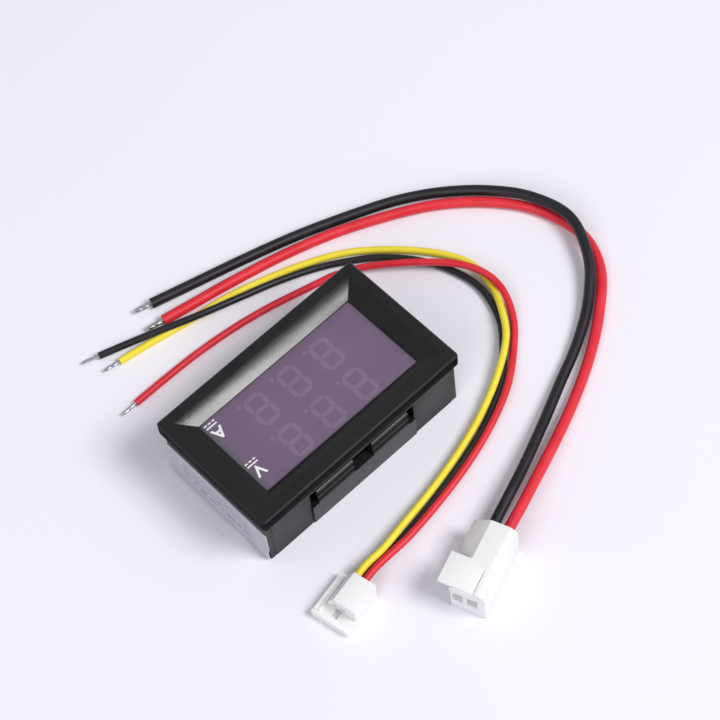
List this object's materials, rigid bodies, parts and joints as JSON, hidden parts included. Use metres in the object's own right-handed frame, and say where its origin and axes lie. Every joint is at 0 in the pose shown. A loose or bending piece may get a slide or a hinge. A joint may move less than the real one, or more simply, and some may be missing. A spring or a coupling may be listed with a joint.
{
  "type": "digital panel meter",
  "caption": "Snap-in panel meter showing voltage above current on small digital displays behind a smoked window, with its plug-in supply and measuring leads beside it.",
  "frame": {"origin": "centre of the rear rim's plane, under the middle of the bezel", "axes": "+Z out of the display, away from the panel; +X to the display's right, along the long side; +Y to the display's top"},
  "size_m": [0.0917, 0.0933, 0.016],
  "materials": {
    "case": "moulded, fine satin",
    "window": "smoked, smooth",
    "display": "matt face",
    "segment": "milky, unlit",
    "board": "green solder mask",
    "chip": "moulded",
    "capacitor": "smooth",
    "resistor": "smooth",
    "trimmer": "moulded",
    "rotor": "plain",
    "header": "moulded nylon",
    "pin": "tinned",
    "shunt": "drawn wire",
    "label": "matt sticker",
    "plug": "moulded nylon",
    "terminal": "tinned",
    "black_wire": "satin insulation",
    "red_wire": "satin insulation",
    "yellow_wire": "satin insulation",
    "tinned_end": "tinned strands"
  },
  "bodies": {
    "meter": {"housing": "case", "window": "window", "volt_display": "display", "amp_display": "display", "volt_segments": "segment", "amp_segments": "segment", "pcb": "board", "microcontroller": "chip", "amplifier": "chip", "regulator": "chip", "capacitor_1": "capacitor", "capacitor_2": "capacitor", "resistor_1": "resistor", "resistor_2": "resistor", "resistor_3": "resistor", "resistor_4": "resistor", "volt_trimmer": "trimmer", "amp_trimmer": "trimmer", "signal_socket": "header", "signal_pin_1": "pin", "signal_pin_2": "pin", "signal_pin_3": "pin", "power_header": "header", "power_pin_1": "pin", "power_pin_2": "pin", "shunt": "shunt", "label": "label", "power_plug": "plug", "power_terminal_1": "terminal", "power_terminal_2": "terminal", "signal_plug": "plug", "signal_terminal_1": "terminal", "signal_terminal_2": "terminal", "signal_terminal_3": "terminal", "thick_black_wire": "black_wire", "thick_red_wire": "red_wire", "yellow_wire": "yellow_wire", "thin_black_wire": "black_wire", "thin_red_wire": "red_wire", "thick_black_end": "tinned_end", "thick_red_end": "tinned_end", "yellow_end": "tinned_end", "thin_black_end": "tinned_end", "thin_red_end": "tinned_end"},
    "volt_rotor": {"volt_trimmer_rotor": "rotor"},
    "amp_rotor": {"amp_trimmer_rotor": "rotor"}
  },
  "joints": [
    {"name": "volt_adjust", "type": "hinge", "parent": "meter", "child": "volt_rotor", "pos_m": [-0.0036, -0.0056, 0.004], "axis": [0, 0, -1], "range_deg": [-130, 130]},
    {"name": "amp_adjust", "type": "hinge", "parent": "meter", "child": "amp_rotor", "pos_m": [0.0022, -0.0056, 0.004], "axis": [0, 0, -1], "range_deg": [-130, 130]}
  ]
}
